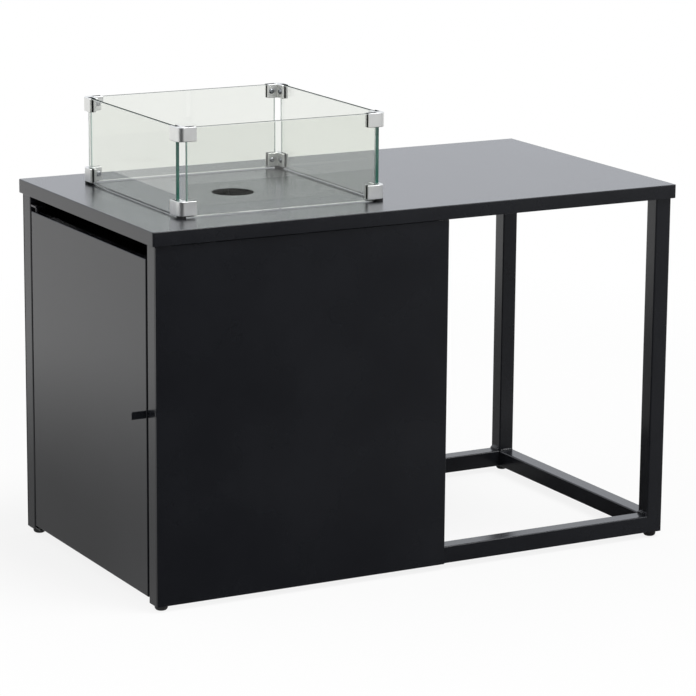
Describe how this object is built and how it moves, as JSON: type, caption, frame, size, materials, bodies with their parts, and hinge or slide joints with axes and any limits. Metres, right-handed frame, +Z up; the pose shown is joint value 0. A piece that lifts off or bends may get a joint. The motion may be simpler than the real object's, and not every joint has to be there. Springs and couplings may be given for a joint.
{
  "type": "gas fire pit table",
  "caption": "Low rectangular gas fire pit table: folded black top, bottle cabinet with a hinged end door, open tube frame, covered burner and a lift-off glass guard with corner clamps.",
  "frame": {"origin": "on the floor, below the middle of the table's bounding box, door pull included", "axes": "+X along the table's length, from the door end to the open end; -Y is the front; +Z is up"},
  "size_m": [1.02, 0.55, 0.785],
  "materials": {
    "black_steel": "satin",
    "zinc_steel": "satin",
    "stainless_steel": "brushed",
    "clamp_metal": "satin",
    "brass": "satin",
    "pipe_aluminium": "satin",
    "clear_glass": "polished",
    "black_rubber": "matte",
    "black_plastic": "matte",
    "button_plastic": "gloss",
    "ceramic": "satin"
  },
  "bodies": {
    "frame": {"air_mixer": "brass", "burner_ring": "stainless_steel", "burner_tray": "black_steel", "control_plate": "stainless_steel", "control_screws": "zinc_steel", "flange_nuts": "zinc_steel", "foot_sockets": "zinc_steel", "front_panel": "black_steel", "gas_inlet": "brass", "gas_pipe": "pipe_aluminium", "gas_valve": "brass", "hinge_brackets": "black_steel", "hub_nut": "zinc_steel", "igniter_body": "black_plastic", "igniter_nut": "zinc_steel", "magnet_catch": "black_plastic", "panel_screws": "zinc_steel", "pipe_nuts": "brass", "post_front_left": "black_steel", "post_front_right": "black_steel", "post_rear_left": "black_steel", "post_rear_right": "black_steel", "rail_bottom_cross": "black_steel", "rail_bottom_front": "black_steel", "rail_bottom_rear": "black_steel", "rail_bottom_right": "black_steel", "rail_top_cross": "black_steel", "rail_top_front": "black_steel", "rail_top_left": "black_steel", "rail_top_rear": "black_steel", "rail_top_right": "black_steel", "rear_panel": "black_steel", "shelf": "black_steel", "side_panel": "black_steel", "sill_left": "black_steel", "spark_electrode": "ceramic", "table_top": "black_steel", "thermocouple": "stainless_steel", "weld_studs": "zinc_steel"},
    "door": {"door": "black_steel", "door_pull": "black_steel", "pivot_pins": "black_steel"},
    "lid": {"burner_lid": "black_steel", "lid_stiffeners": "black_steel"},
    "guard": {"glass_front": "clear_glass", "glass_right": "clear_glass", "glass_rear": "clear_glass", "glass_left": "clear_glass", "corner_clamps": "clamp_metal", "clamp_gaskets": "black_rubber", "clamp_screws": "stainless_steel", "guard_pads": "black_rubber"},
    "plunger": {"valve_plunger": "brass"},
    "knob": {"valve_spindle": "brass", "control_knob": "black_plastic"},
    "button": {"igniter_button": "button_plastic"},
    "foot_front_left": {"foot_front_left": "black_plastic"},
    "foot_front_right": {"foot_front_right": "black_plastic"},
    "foot_rear_left": {"foot_rear_left": "black_plastic"},
    "foot_rear_right": {"foot_rear_right": "black_plastic"}
  },
  "joints": [
    {"name": "door_hinge", "type": "hinge", "parent": "frame", "child": "door", "pos_m": [-0.477, 0.225, 0.301], "axis": [0, 0, -1], "range_deg": [0, 110]},
    {"name": "lid_lift", "type": "slide", "parent": "frame", "child": "lid", "axis": [0, 0, 1], "range_m": [0, 0.2]},
    {"name": "guard_lift", "type": "slide", "parent": "frame", "child": "guard", "axis": [0, 0, 1], "range_m": [0, 0.2]},
    {"name": "knob_push", "type": "slide", "parent": "frame", "child": "plunger", "axis": [-1, 0, 0], "range_m": [0, 0.004], "stiffness_N_per_m": 2000},
    {"name": "knob_turn", "type": "hinge", "parent": "plunger", "child": "knob", "pos_m": [0.063, -0.15, 0.462], "axis": [1, 0, 0], "range_deg": [0, 180]},
    {"name": "igniter_push", "type": "slide", "parent": "frame", "child": "button", "axis": [-1, 0, 0], "range_m": [0, 0.006], "stiffness_N_per_m": 1500},
    {"name": "foot_front_left_turn", "type": "hinge", "parent": "frame", "child": "foot_front_left", "pos_m": [-0.469, -0.254, 0.005], "axis": [0, 0, 1], "continuous": true},
    {"name": "foot_front_right_turn", "type": "hinge", "parent": "frame", "child": "foot_front_right", "pos_m": [0.489, -0.254, 0.005], "axis": [0, 0, 1], "continuous": true},
    {"name": "foot_rear_left_turn", "type": "hinge", "parent": "frame", "child": "foot_rear_left", "pos_m": [-0.469, 0.254, 0.005], "axis": [0, 0, 1], "continuous": true},
    {"name": "foot_rear_right_turn", "type": "hinge", "parent": "frame", "child": "foot_rear_right", "pos_m": [0.489, 0.254, 0.005], "axis": [0, 0, 1], "continuous": true}
  ]
}
